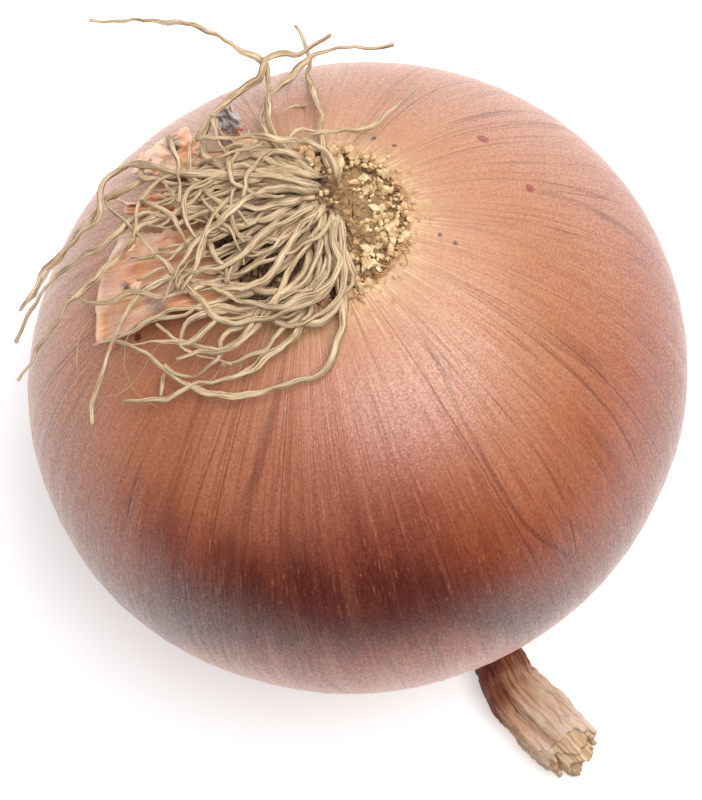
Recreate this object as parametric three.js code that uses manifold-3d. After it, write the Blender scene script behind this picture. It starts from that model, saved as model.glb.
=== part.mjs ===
// A brown onion, root end up and leaning back, with its dry root tuft, torn old skins and bent-over neck.
// Millimetres, +Z up. The origin is on the surface the onion rests on, straight under the bulb's middle.
import * as THREE from "three";
import { mergeVertices } from "three/addons/utils/BufferGeometryUtils.js";
import Module from "manifold-3d";

const wasm = await Module();
wasm.setup();

const { degToRad, lerp, smoothstep } = THREE.MathUtils;

// Bulb: an ellipsoid of revolution whose neck side runs out in a straight shoulder
const EQUATOR_RADIUS = 38.2;
const POLE_DISTANCE = 31.7;
const LEAN = degToRad(34);
const REST_CUT = 0.75;
const SHOULDER_START = [23.5, -25];
const SHOULDER_END = [12.5, -32.4];
const TIP_FLARE = [
  [9.2, -33.7],
  [6.2, -34.9],
  [3.2, -35.7],
  [0, -36],
];
const BULB_SEGMENTS = 48;
const BULB_ARC_STEPS = 22;
const NECK_LOBES = 7;
const NECK_LOBE_DEPTH = 0.02;

// Root plate, which sits in a shallow recess at the root pole
const GAP = 0.3;
const RECESS_RADIUS = 10.5;
const RECESS_FLOOR = 28;
const PLATE_RADIUS = RECESS_RADIUS - GAP;
const PLATE_CROWN = 1.1;
const PLATE_EDGE_DROP = 0.4;
const PLATE_SEGMENTS = 24;
const PLATE_RINGS = 5;
const KNOB_HEIGHT = 0.5;
const STUB_COUNT = 27;
const STUB_SPREAD = 100;
const STUB_DISTANCES = [9.3, 7.4, 5.4];

// Roots: their starts lie sunk in the plate, and the loose ones are drawn by rule
const ROOT_START_DEPTH = 2.2;
const ROOT_CLEARANCE = 0.95;
const LOOSE_LAYERS = [ROOT_CLEARANCE, 4.4];
const LOOSE_RADII = [0.4, 0.6];
const ROOT_SIDES = 4;
const LOOSE_ROOT_SIDES = 3;
const ROOT_STEP = 3.3;
const LOOSE_ROOTS = 24;
const SEED = 11;

// Neck: an outer sheath with a ragged mouth, and an inner one that looks out of it
const NECK_LENGTH = 43;
const OUTER_SHEATH = {
  start: 0, end: 0.93, scale: 1, wall: 0.305, pocket: 5 / NECK_LENGTH,
  ragged: 0.02, phase: 0.4, segments: 30, steps: 16,
};
const INNER_SHEATH = {
  start: 0.72, end: 1.02, scale: 0.8, wall: 0.35, pocket: 0.12,
  ragged: 0.016, phase: 2.1, segments: 16, steps: 6,
};
const FOLD_DEPTH = 0.09;
const SLOW_FOLD_DEPTH = 0.06;
const NECK_TWIST = 0.8;

// Torn skins
const SKIN_THICKNESS = 0.7;

// The shapes on top were laid out as seen from above by an eye over the bulb's middle
const EYE_HEIGHT = 600;
const EYE = new THREE.Vector2(-1.5, -2.56);

const COS = Math.cos(LEAN);
const SIN = Math.sin(LEAN);
const SHOULDER_DROP = SHOULDER_START[0] * SIN - SHOULDER_START[1] * COS;
const CENTRE_HEIGHT = SHOULDER_DROP - REST_CUT;

// The same random numbers on every run
let randomState = SEED;
function random(low, high) {
  randomState = (Math.imul(randomState, 1664525) + 1013904223) >>> 0;
  return low + ((high - low) * randomState) / 4294967296;
}

// A closed mesh as a solid, with its faces turned outwards
function solid(geometry) {
  geometry.deleteAttribute("normal");
  geometry.deleteAttribute("uv");
  const merged = mergeVertices(geometry, 1e-4);
  const triVerts = new Uint32Array(merged.index.array);
  const vertProperties = merged.attributes.position.array;
  const made = new wasm.Manifold(new wasm.Mesh({ numProp: 3, vertProperties, triVerts }));
  if (made.volume() > 0) return made;
  for (let i = 0; i < triVerts.length; i += 3) {
    [triVerts[i + 1], triVerts[i + 2]] = [triVerts[i + 2], triVerts[i + 1]];
  }
  return new wasm.Manifold(new wasm.Mesh({ numProp: 3, vertProperties, triVerts }));
}

// The largest connected body of a solid as a mesh: what broke off in a cut is dropped
function meshOf(name, made, material) {
  const bodies = made.decompose().sort((a, b) => b.volume() - a.volume());
  const { numProp, numVert, vertProperties, triVerts } = bodies[0].getMesh();
  const positions = new Float32Array(numVert * 3);
  for (let i = 0; i < numVert; i++) {
    positions.set(vertProperties.subarray(i * numProp, i * numProp + 3), i * 3);
  }
  const geometry = new THREE.BufferGeometry();
  geometry.setAttribute("position", new THREE.BufferAttribute(positions, 3));
  geometry.setIndex(new THREE.BufferAttribute(triVerts, 1));
  const mesh = new THREE.Mesh(geometry, material);
  mesh.name = name;
  return mesh;
}

function united(solids) {
  return solids.reduce((whole, next) => whole.add(next));
}

// Moves every point of a geometry by a function that changes it in place
function reshape(geometry, move) {
  const position = geometry.attributes.position;
  const point = new THREE.Vector3();
  for (let i = 0; i < position.count; i++) {
    move(point.fromBufferAttribute(position, i));
    position.setXYZ(i, point.x, point.y, point.z);
  }
  return geometry;
}

// From the bulb's own frame, root pole along +Z, to the leaning bulb over the surface
function lean(geometry) {
  return geometry.rotateX(-LEAN).translate(0, 0, CENTRE_HEIGHT);
}

// What lies under the surface is cut away, so that the piece rests flat
function restedFlat(made) {
  const depth = 40;
  const slab = new THREE.BoxGeometry(200, 200, depth).translate(0, 0, -depth / 2);
  return made.subtract(solid(slab));
}

// The bulb's outline beside its axis, from the recess for the root plate to the neck tip, grown by a margin
function bulbProfile(margin) {
  const recess = RECESS_RADIUS - margin;
  const start = Math.asin(recess / EQUATOR_RADIUS);
  const end = Math.PI - Math.asin(SHOULDER_START[0] / EQUATOR_RADIUS);
  const outside = [];
  for (let i = 0; i <= BULB_ARC_STEPS; i++) {
    const angle = lerp(start, end, i / BULB_ARC_STEPS);
    outside.push(new THREE.Vector2(EQUATOR_RADIUS * Math.sin(angle), POLE_DISTANCE * Math.cos(angle)));
  }
  const tip = new THREE.Vector2(...SHOULDER_END);
  const halfway = new THREE.Vector2(...SHOULDER_START).lerp(tip, 0.5);
  outside.push(halfway, tip, ...TIP_FLARE.map((place) => new THREE.Vector2(...place)));
  outside.forEach((point) => point.multiplyScalar(1 + margin / POLE_DISTANCE));
  const floor = RECESS_FLOOR + margin;
  return [new THREE.Vector2(0, floor), new THREE.Vector2(recess, floor), ...outside];
}

// The bulb, or the same bulb with a margin all over, to cut its neighbours clear of it
function bulbSolid(margin = 0) {
  const lathe = new THREE.LatheGeometry(bulbProfile(margin), BULB_SEGMENTS).rotateX(Math.PI / 2);
  reshape(lathe, (point) => {
    const azimuth = Math.atan2(point.y, point.x);
    const towardsNeck = smoothstep(-point.z, 12, POLE_DISTANCE);
    const lobe = 1 + NECK_LOBE_DEPTH * towardsNeck * Math.cos(NECK_LOBES * azimuth + 0.6);
    point.x *= lobe;
    point.y *= lobe;
  });
  return solid(lean(lathe));
}

// The height of the bulb's upper side over a place, level beyond its rim, and how upright it faces there
function skinAt(x, y) {
  const rimDepth = Math.hypot(EQUATOR_RADIUS * COS, POLE_DISTANCE * SIN);
  const outwards = Math.max(1, Math.hypot(x / EQUATOR_RADIUS, y / rimDepth) / 0.955);
  const [px, py] = [x / outwards, y / outwards];
  const [flat, tall] = [EQUATOR_RADIUS ** -2, POLE_DISTANCE ** -2];
  const p = SIN * SIN * flat + COS * COS * tall;
  const q = 2 * py * SIN * COS * (tall - flat);
  const r = px * px * flat + py * py * (COS * COS * flat + SIN * SIN * tall) - 1;
  const z = (-q + Math.sqrt(q * q - 4 * p * r)) / (2 * p);
  const normal = new THREE.Vector3(
    px * flat,
    py * (COS * COS * flat + SIN * SIN * tall) + z * SIN * COS * (tall - flat),
    z * p + py * SIN * COS * (tall - flat),
  ).normalize();
  return { height: CENTRE_HEIGHT + z, normal };
}

// The point that the eye sees at a place, some lift off the bulb's skin
function lifted([seenX, seenY], lift) {
  const point = new THREE.Vector3(seenX, seenY, CENTRE_HEIGHT);
  for (let i = 0; i < 8; i++) {
    const { height, normal } = skinAt(point.x, point.y);
    point.z = height + lift / Math.max(normal.z, 0.5);
    const nearer = 1 - (point.z - CENTRE_HEIGHT) / EYE_HEIGHT;
    point.x = EYE.x + (seenX - EYE.x) * nearer;
    point.y = EYE.y + (seenY - EYE.y) * nearer;
  }
  return point;
}

// How far a root lies off the bulb: sunk in the plate at its start, then up to its place in the heap, and
// always over the torn skins on the left, of which the far one stands off the most
function rootLift(along, { x, y }, layer, endLift) {
  const overHeldEdges = 1.3 * smoothstep(-x, 2, 8);
  const overFarSkin = 1.5 * smoothstep(-x, 10, 15) * smoothstep(y, 6, 10);
  const clear = ROOT_CLEARANCE + overHeldEdges + overFarSkin;
  const risen = smoothstep(along, 0, 5);
  return lerp(-ROOT_START_DEPTH, Math.max(layer, clear), risen) + endLift * smoothstep(along, 20, 45);
}

// One root along places chosen by hand or by rule
function rootSolid(places, { layer, radius, endLift = 0, sides = ROOT_SIDES }) {
  const plan = new THREE.CatmullRomCurve3(places.map(([x, y]) => new THREE.Vector3(x, y, 0)));
  const length = plan.getLength();
  const steps = Math.max(4, Math.round(length / ROOT_STEP));
  const points = plan.getSpacedPoints(steps).map((place, i) => {
    return lifted([place.x, place.y], rootLift((i * length) / steps, place, layer, endLift));
  });
  const corners = Array.from({ length: sides }, (_, i) => {
    const angle = (i * 2 * Math.PI) / sides;
    return new THREE.Vector2(radius * Math.cos(angle), radius * Math.sin(angle));
  });
  const extrudePath = new THREE.CatmullRomCurve3(points);
  const section = new THREE.Shape(corners);
  return solid(new THREE.ExtrudeGeometry(section, { steps, extrudePath, bevelEnabled: false }));
}

// The roots that stand out one by one: layer in the heap, thickness, lift of the far end, and the places
// they pass, as seen from above
const LEADING_ROOTS = [
  [3.4, 1.3, 0, [[3, 21.5], [-1, 24], [-6.5, 26.5], [-9.5, 30.5], [-5.5, 34.5], [-1, 36], [1, 38],
    [5, 37.5], [8.5, 38.5]]],
  [2.6, 0.9, 2, [[3.5, 22], [0.5, 26], [-1, 30], [-0.5, 33.5], [0.5, 37], [-2, 40], [-6, 44],
    [-12, 46.5], [-17.5, 48]]],
  [2.0, 1.0, 0, [[3, 22], [0, 26], [-2, 30.5], [0, 34], [3.5, 35.5], [7.5, 37], [13, 35.5], [15, 35.5]]],
  [1.4, 1.0, 0, [[4, 22], [4, 28], [5, 30], [4.5, 34], [5.5, 36.5], [5, 40.5]]],
  [2.0, 0.8, 1, [[3, 22.5], [0, 26.5], [1.5, 29], [6, 27.5], [10, 27], [12.5, 28], [16, 29.5]]],
  [4.4, 1.1, 0, [[4, 20.5], [4.5, 23], [4, 26], [1, 28], [-4, 30], [-10, 31.5]]],
  [4.6, 1.1, 0, [[3, 21.5], [-2, 24.5], [-12, 28], [-18, 31], [-22, 29], [-23.5, 26], [-29.5, 23],
    [-34.5, 19]]],
  [3.6, 1.0, 0, [[3, 21], [-2, 24], [-7, 26.5], [-15, 28.5], [-21, 28], [-26, 25], [-29.5, 22.5],
    [-35, 18.5]]],
  [2.6, 1.0, 0, [[2.5, 21], [-5, 24], [-15, 24], [-18.5, 25], [-23.5, 23], [-30, 21], [-34.5, 17.5],
    [-36.5, 15]]],
  [1.6, 1.0, 0, [[2.5, 21], [-8, 23], [-17.5, 24], [-22.5, 21], [-29.5, 17.5], [-35, 13], [-37.5, 11]]],
  [3.9, 1.1, 0, [[3, 20], [2, 15.5], [0.5, 11], [-4, 9.5], [-10, 9.5], [-13, 10.5], [-15.5, 15],
    [-19.5, 23], [-22, 27.5]]],
  [1.6, 1.1, 0, [[3, 20], [3, 16.5], [2, 12], [-0.5, 5], [-4, 1.5], [-11.5, 1.5], [-15, 2],
    [-19.5, 5], [-22.5, 9.5], [-26.5, 12.5]]],
  [3.0, 1.1, 0, [[2.5, 20], [0.5, 16], [-3.5, 11.5], [-9.5, 13.5], [-18, 17], [-23, 15], [-26.5, 11],
    [-30, 6], [-31, 3.5]]],
  [2.4, 1.1, 0, [[3, 19.5], [1.5, 14], [0, 8], [-5, 7.5], [-10.5, 11], [-18.5, 13.5], [-23, 12.5],
    [-28, 12]]],
  [3.4, 0.9, 0, [[2, 19.5], [0, 12], [-5, 9.5], [-8.5, 10.5], [-12.5, 7.5], [-17.5, 9], [-20.5, 12.5]]],
  [2.2, 0.9, 0, [[1, 19.5], [-1.5, 13], [-9, 11], [-15.5, 12], [-18.5, 9.5], [-17.5, 8], [-13.5, 5.5]]],
  [1.2, 0.9, 0, [[1.5, 19.5], [-2, 11], [-10, 9.5], [-14, 8.5], [-14.5, 6.5], [-18.5, 5.5], [-21, 7.5]]],
  [4.8, 1.0, 0, [[2.5, 21], [-3.5, 23.5], [-10.5, 21.5], [-16, 18], [-19, 14.5]]],
  [3.2, 1.0, 0, [[3, 21], [-3, 24], [-10, 25], [-14, 23.5]]],
  [5.0, 1.1, 0, [[2.5, 20.5], [-4.5, 19], [-11, 16.5], [-15, 17]]],
  [4.2, 1.0, 0, [[0.5, 19.5], [-4.5, 15.5], [-7.5, 13.5], [-14.5, 14.5]]],
  [4.4, 1.2, 0, [[3.5, 19.5], [2, 15.5], [1, 11.5], [-5.5, 10], [-10, 12], [-13, 14.5]]],
  [3.0, 1.0, 0, [[3.5, 19.5], [3, 15.5], [0.5, 9], [-5, 7.5]]],
];

// Places of one more root of the heap: it leaves the plate between straight left and straight down, and
// bends round to the common direction, in waves
function looseRootPlaces(share) {
  const start = degToRad(lerp(126, 255, share) + random(-8, 8));
  const end = degToRad(lerp(200, 165, share) + random(-10, 10));
  const reach = lerp(8, 15, share);
  const length = lerp(16, 30, share) * random(0.75, 1.2);
  const wave = degToRad(random(8, 20));
  const waveLength = random(8, 13);
  const phase = random(0, 2 * Math.PI);
  let x = lerp(3.5, 1.5, share) + random(-2.5, 1);
  let y = lerp(24, 17, share) + random(-1.5, 1.5);
  const places = [[x, y]];
  const stride = length / 8;
  for (let along = stride / 2; along < length; along += stride) {
    const swing = wave * Math.sin((2 * Math.PI * along) / waveLength + phase);
    const heading = end + (start - end) * Math.exp(-((along / reach) ** 2)) + swing;
    x += stride * Math.cos(heading);
    y += stride * Math.sin(heading);
    places.push([x, y]);
  }
  return places;
}

// The corky disc under the roots, with its knobbly crown
function plateSolid() {
  const rim = POLE_DISTANCE * Math.sqrt(1 - (PLATE_RADIUS / EQUATOR_RADIUS) ** 2);
  const floor = RECESS_FLOOR + GAP;
  const profile = [[0, floor], [PLATE_RADIUS, floor], [PLATE_RADIUS, rim - PLATE_EDGE_DROP]];
  for (let ring = PLATE_RINGS - 1; ring >= 0; ring--) {
    const share = ring / PLATE_RINGS;
    profile.push([PLATE_RADIUS * share, POLE_DISTANCE + PLATE_CROWN * (1 - share)]);
  }
  const points = profile.map(([radius, height]) => new THREE.Vector2(radius, height));
  const lathe = new THREE.LatheGeometry(points, PLATE_SEGMENTS).rotateX(Math.PI / 2);
  reshape(lathe, (point) => {
    const radius = Math.hypot(point.x, point.y);
    const onTop = smoothstep(point.z, 30.4, 31.2) * smoothstep(radius, 0, 2);
    const azimuth = Math.atan2(point.y, point.x);
    const knobs = Math.sin(5 * azimuth + radius) * Math.cos(3 * azimuth - 1.7 * radius);
    point.z += onTop * KNOB_HEIGHT * knobs;
  });
  return solid(lean(lathe));
}

// Broken-off root stubs, thickest on the right-hand crescent of the plate
function stubSolids() {
  return Array.from({ length: STUB_COUNT }, (_, i) => {
    const spread = lerp(-STUB_SPREAD, STUB_SPREAD, (i + 0.5) / STUB_COUNT);
    const azimuth = degToRad(spread + random(-8, 8));
    const distance = STUB_DISTANCES[i % STUB_DISTANCES.length] + random(-0.7, 0.7);
    const thickness = random(0.65, 1.15);
    const length = random(2.2, 3.6);
    const stub = new THREE.CylinderGeometry(thickness * 0.85, thickness, length, 5).rotateX(Math.PI / 2);
    stub.rotateX(random(-0.45, 0.45)).rotateY(random(-0.45, 0.45));
    const height = POLE_DISTANCE * Math.sqrt(1 - (distance / EQUATOR_RADIUS) ** 2);
    stub.translate(distance * Math.cos(azimuth), distance * Math.sin(azimuth), height);
    return solid(lean(stub));
  });
}

function rootTuft(material) {
  const leading = LEADING_ROOTS.map(([layer, width, endLift, places]) => {
    return rootSolid(places, { layer, radius: width / 2, endLift });
  });
  const loose = Array.from({ length: LOOSE_ROOTS }, (_, i) => {
    const share = ((i + 0.5) / LOOSE_ROOTS) ** 1.5;
    const places = looseRootPlaces(share);
    const layer = random(...LOOSE_LAYERS);
    const radius = random(...LOOSE_RADII);
    return rootSolid(places, { layer, radius, sides: LOOSE_ROOT_SIDES });
  });
  const tuft = united([plateSolid(), ...stubSolids(), ...leading, ...loose]);
  return meshOf("root_tuft", tuft.subtract(bulbSolid(GAP)), material);
}

// Half widths and half heights of the neck along its route
const NECK_ROUTE = [
  { at: [0, -16.5, 8.4], wide: 6.2, high: 6 },
  { at: [0.8, -21.5, 4.7], wide: 6, high: 5 },
  { at: [3, -28.5, 3.5], wide: 3.7, high: 3.4 },
  { at: [6.2, -37, 3.2], wide: 2.8, high: 2.9 },
  { at: [7, -41.5, 3.4], wide: 3.3, high: 3 },
  { at: [9.4, -46.5, 3.4], wide: 3.9, high: 3.1 },
  { at: [11.4, -51.5, 3.2], wide: 3.5, high: 2.7 },
];

// A point on the neck: along its route from 0 to 1, round it, and how far out from its middle line
function neckPoint(along, angle, out) {
  const route = new THREE.CatmullRomCurve3(NECK_ROUTE.map(({ at }) => new THREE.Vector3(...at)));
  const share = THREE.MathUtils.clamp(along, 0, 1);
  const middle = route.getPoint(share);
  const forward = route.getTangent(share);
  middle.addScaledVector(forward, Math.max(0, along - 1) * route.getLength());
  const side = new THREE.Vector3(0, 0, 1).cross(forward).normalize();
  const up = forward.clone().cross(side);
  const place = share * (NECK_ROUTE.length - 1);
  const [from, to] = [NECK_ROUTE[Math.floor(place)], NECK_ROUTE[Math.ceil(place)]];
  const wide = lerp(from.wide, to.wide, place % 1);
  const high = lerp(from.high, to.high, place % 1);
  const wrinkled = smoothstep(along, 0.25, 0.5);
  const twist = angle + NECK_TWIST * along;
  const folds = FOLD_DEPTH * Math.sin(9 * twist) + SLOW_FOLD_DEPTH * Math.sin(4 * twist + 1.3);
  const fold = 1 + wrinkled * folds;
  middle.addScaledVector(side, Math.cos(angle) * wide * out * fold);
  return middle.addScaledVector(up, Math.sin(angle) * high * out * fold);
}

// One sheath of the neck: a tube from start to end along the route. Its mouth is ragged, and the pocket in
// it is a share of the tube deep.
function sheathSolid({ start, end, scale, ragged, pocket, wall, segments, steps, phase }) {
  const profile = [[0, 0]];
  for (let i = 0; i <= steps; i++) {
    profile.push([1, i / steps]);
  }
  profile.push([1 - wall, 1], [1 - wall, 1 - pocket], [0, 1 - pocket]);
  const points = profile.map(([out, along]) => new THREE.Vector2(out, along));
  const lathe = new THREE.LatheGeometry(points, segments).rotateX(Math.PI / 2);
  reshape(lathe, (point) => {
    const angle = Math.atan2(point.y, point.x);
    const out = Math.hypot(point.x, point.y) * scale;
    const tear = ragged * (Math.sin(3 * angle + phase) + 0.6 * Math.sin(7 * angle + 2 * phase));
    const along = lerp(start, end, point.z) + tear * smoothstep(point.z, 0.75, 1);
    point.copy(neckPoint(along, angle, out));
  });
  return solid(lathe);
}

function neck(material) {
  const sheaths = sheathSolid(OUTER_SHEATH).add(sheathSolid(INNER_SHEATH));
  return meshOf("neck", restedFlat(sheaths.subtract(bulbSolid(GAP))), material);
}

function bulb(material) {
  return meshOf("bulb", restedFlat(bulbSolid()), material);
}

// A torn skin is a sheet between its held edge and its free edge. Both are curves through a few places as
// seen from above. It lies close along the held edge, and standOff tells how far it stands off elsewhere:
// u runs along the two edges, and v from the held edge to the free one.
const TORN_SKINS = [
  {
    name: "torn_skin_lower", columns: 9, rows: 12,
    held: [[-9.5, 13.5], [-11, 17], [-11.5, 21]],
    free: [[-27.5, 12.2], [-26, 17.5], [-21.5, 23.5]],
    teeth: 0.35,
    standOff: (u, v) => 0.75 + 1.7 * (1 - u) ** 2 * Math.sin(Math.PI * Math.min(1, 1.1 * v)) + 0.4 * v,
  },
  {
    name: "torn_skin_middle", columns: 5, rows: 9,
    held: [[-11, 22.5], [-10, 25.5]],
    free: [[-19.5, 25.2], [-20.5, 27.4]],
    teeth: 0.5,
    standOff: (u, v) => 0.75 + 0.9 * u * v,
  },
  {
    name: "torn_skin_upper", columns: 8, rows: 7,
    held: [[-9.5, 26.5], [-8.2, 27.3], [-7, 28]],
    free: [[-18, 30], [-15, 32.2], [-11.3, 33]],
    teeth: 0.4,
    standOff: (u, v) => 0.75 + 1.1 * v * v,
  },
  {
    name: "torn_skin_flake", columns: 5, rows: 6,
    held: [[-5.5, 28.6], [-3, 28.8]],
    free: [[-7.3, 33.6], [-4.9, 34.2]],
    teeth: 0.3,
    standOff: (u, v) => 0.75 + 0.8 * v,
  },
];

// A closed sheet: place(u, v) gives a point of its middle face, and both faces are split alike
function sheetSolid(columns, rows, place) {
  const plane = new THREE.PlaneGeometry(1, 1, columns, rows);
  const count = plane.attributes.position.count;
  const upper = [];
  const lower = [];
  for (let i = 0; i < count; i++) {
    const u = plane.attributes.position.getX(i) + 0.5;
    const v = plane.attributes.position.getY(i) + 0.5;
    const point = place(u, v);
    const { normal } = skinAt(point.x, point.y);
    upper.push(...point.clone().addScaledVector(normal, SKIN_THICKNESS / 2));
    lower.push(...point.clone().addScaledVector(normal, -SKIN_THICKNESS / 2));
  }
  const faces = Array.from(plane.index.array);
  const index = [...faces];
  for (let i = 0; i < faces.length; i += 3) {
    index.push(faces[i] + count, faces[i + 2] + count, faces[i + 1] + count);
  }
  const across = columns + 1;
  const rim = [];
  for (let i = 0; i < columns; i++) rim.push(i);
  for (let j = 0; j < rows; j++) rim.push(j * across + columns);
  for (let i = columns; i > 0; i--) rim.push(rows * across + i);
  for (let j = rows; j > 0; j--) rim.push(j * across);
  rim.forEach((here, i) => {
    const next = rim[(i + 1) % rim.length];
    index.push(here, next, here + count, next, next + count, here + count);
  });
  const geometry = new THREE.BufferGeometry();
  geometry.setAttribute("position", new THREE.Float32BufferAttribute([...upper, ...lower], 3));
  geometry.setIndex(index);
  return solid(geometry);
}

function tornSkin({ name, columns, rows, held, free, teeth, standOff }, material) {
  const edge = (places) => new THREE.CatmullRomCurve3(places.map(([x, y]) => new THREE.Vector3(x, y, 0)));
  const [heldEdge, freeEdge] = [edge(held), edge(free)];
  const place = (u, v) => {
    const from = heldEdge.getPoint(u);
    const to = freeEdge.getPoint(u);
    const tooth = teeth * smoothstep(v, 0.6, 1) * Math.sin(2.5 * Math.PI * columns * u);
    from.lerp(to, v + tooth / from.distanceTo(to));
    return lifted([from.x, from.y], standOff(u, v));
  };
  return meshOf(name, sheetSolid(columns, rows, place), material);
}

function finish(color, roughness) {
  return new THREE.MeshStandardMaterial({ color, roughness, metalness: 0 });
}

const copperSkin = finish(0xb5704a, 0.42);
const strawRoot = finish(0xc9ad84, 0.85);
const driedSheath = finish(0xa4684a, 0.6);
const orangeScrap = finish(0xd08a5c, 0.5);

const onion = new THREE.Group();
onion.add(bulb(copperSkin), neck(driedSheath), rootTuft(strawRoot));
for (const skin of TORN_SKINS) {
  onion.add(tornSkin(skin, orangeScrap));
}

export default onion;
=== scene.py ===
"""A brown onion with its root tuft, torn old skins and bent neck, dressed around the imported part.

Sizes are in millimetres, as on the part, and turn into metres where a mesh is made.
"""

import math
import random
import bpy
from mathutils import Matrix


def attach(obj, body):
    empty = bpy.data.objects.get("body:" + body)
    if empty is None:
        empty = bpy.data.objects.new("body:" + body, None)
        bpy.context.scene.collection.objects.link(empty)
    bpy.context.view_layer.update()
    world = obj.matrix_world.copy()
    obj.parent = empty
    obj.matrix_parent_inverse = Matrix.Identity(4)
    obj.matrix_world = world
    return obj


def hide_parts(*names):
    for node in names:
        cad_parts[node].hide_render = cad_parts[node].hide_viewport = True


bl_info = {
    "name": "Brown Onion",
    "version": (1, 0, 0),
    "blender": (4, 5, 0),
    "location": "View3D > Sidebar > Onion",
    "description": "Builds a brown onion: skin, root plate, roots, torn skins and neck",
    "category": "Add Mesh",
}

import bmesh
import bpy
from mathutils import Matrix, Vector, noise

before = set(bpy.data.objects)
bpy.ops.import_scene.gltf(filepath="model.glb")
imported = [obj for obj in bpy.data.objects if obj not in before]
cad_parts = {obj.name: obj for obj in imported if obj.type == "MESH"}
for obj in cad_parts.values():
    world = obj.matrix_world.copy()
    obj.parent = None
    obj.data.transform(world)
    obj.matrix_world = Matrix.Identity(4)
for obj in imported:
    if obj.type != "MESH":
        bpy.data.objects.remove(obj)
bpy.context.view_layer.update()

MM = 0.001
BODY = "root"
MERGED_BELOW = 1e-4

# The bulb as the part has it
LEAN = math.radians(34)
COS, SIN = math.cos(LEAN), math.sin(LEAN)
REST_CUT = 0.75
SHOULDER_START = (23.5, -25.0)
SHOULDER_END = (12.5, -32.4)
TIP_FLARE = [(9.2, -33.7), (6.2, -34.9), (3.2, -35.7)]
TIP_END = (0.0, -36.0)
CENTRE_HEIGHT = SHOULDER_START[0] * SIN - SHOULDER_START[1] * COS - REST_CUT
RECESS_RADIUS = 10.5
RECESS_FLOOR = 28.0
GAP = 0.3

# The eye over the bulb that the places below are seen from
EYE_HEIGHT = 600.0
EYE = Vector((-1.5, -2.56))

# The roots that stand out: layer in the heap, thickness, lift of the far end, places they pass
LEADING_ROOTS = [
    (3.4, 1.3, 0, [(3, 21.5), (-1, 24), (-6.5, 26.5), (-9.5, 30.5), (-5.5, 34.5), (-1, 36), (1, 38),
                   (5, 37.5), (8.5, 38.5)]),
    (2.6, 0.9, 2, [(3.5, 22), (0.5, 26), (-1, 30), (-0.5, 33.5), (0.5, 37), (-2, 40), (-6, 44),
                   (-12, 46.5), (-17.5, 48)]),
    (2.0, 1.0, 0, [(3, 22), (0, 26), (-2, 30.5), (0, 34), (3.5, 35.5), (7.5, 37), (13, 35.5), (15, 35.5)]),
    (1.4, 1.0, 0, [(4, 22), (4, 28), (5, 30), (4.5, 34), (5.5, 36.5), (5, 40.5)]),
    (2.0, 0.8, 1, [(3, 22.5), (0, 26.5), (1.5, 29), (6, 27.5), (10, 27), (12.5, 28), (16, 29.5)]),
    (4.4, 1.1, 0, [(4, 20.5), (4.5, 23), (4, 26), (1, 28), (-4, 30), (-10, 31.5)]),
    (4.6, 1.1, 0, [(3, 21.5), (-2, 24.5), (-12, 28), (-18, 31), (-22, 29), (-23.5, 26), (-29.5, 23),
                   (-34.5, 19)]),
    (3.6, 1.0, 0, [(3, 21), (-2, 24), (-7, 26.5), (-15, 28.5), (-21, 28), (-26, 25), (-29.5, 22.5),
                   (-35, 18.5)]),
    (2.6, 1.0, 0, [(2.5, 21), (-5, 24), (-15, 24), (-18.5, 25), (-23.5, 23), (-30, 21), (-34.5, 17.5),
                   (-36.5, 15)]),
    (1.6, 1.0, 0, [(2.5, 21), (-8, 23), (-17.5, 24), (-22.5, 21), (-29.5, 17.5), (-35, 13), (-37.5, 11)]),
    (3.9, 1.1, 0, [(3, 20), (2, 15.5), (0.5, 11), (-4, 9.5), (-10, 9.5), (-13, 10.5), (-15.5, 15),
                   (-19.5, 23), (-22, 27.5)]),
    (1.6, 1.1, 0, [(3, 20), (3, 16.5), (2, 12), (-0.5, 5), (-4, 1.5), (-11.5, 1.5), (-15, 2),
                   (-19.5, 5), (-22.5, 9.5),
                   (-26.5, 12.5)]),
    (3.0, 1.1, 0, [(2.5, 20), (0.5, 16), (-3.5, 11.5), (-9.5, 13.5), (-18, 17), (-23, 15), (-26.5, 11),
                   (-30, 6), (-31, 3.5)]),
    (2.4, 1.1, 0, [(3, 19.5), (1.5, 14), (0, 8), (-5, 7.5), (-10.5, 11), (-18.5, 13.5), (-23, 12.5),
                   (-28, 12)]),
    (3.4, 0.9, 0, [(2, 19.5), (0, 12), (-5, 9.5), (-8.5, 10.5), (-12.5, 7.5), (-17.5, 9), (-20.5, 12.5)]),
    (2.2, 0.9, 0, [(1, 19.5), (-1.5, 13), (-9, 11), (-15.5, 12), (-18.5, 9.5), (-17.5, 8), (-13.5, 5.5)]),
    (1.2, 0.9, 0, [(1.5, 19.5), (-2, 11), (-10, 9.5), (-14, 8.5), (-14.5, 6.5), (-18.5, 5.5), (-21, 7.5)]),
    (4.8, 1.0, 0, [(2.5, 21), (-3.5, 23.5), (-10.5, 21.5), (-16, 18), (-19, 14.5)]),
    (3.2, 1.0, 0, [(3, 21), (-3, 24), (-10, 25), (-14, 23.5)]),
    (5.0, 1.1, 0, [(2.5, 20.5), (-4.5, 19), (-11, 16.5), (-15, 17)]),
    (4.2, 1.0, 0, [(0.5, 19.5), (-4.5, 15.5), (-7.5, 13.5), (-14.5, 14.5)]),
    (4.4, 1.2, 0, [(3.5, 19.5), (2, 15.5), (1, 11.5), (-5.5, 10), (-10, 12), (-13, 14.5)]),
    (3.0, 1.0, 0, [(3.5, 19.5), (3, 15.5), (0.5, 9), (-5, 7.5)]),
]

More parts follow.
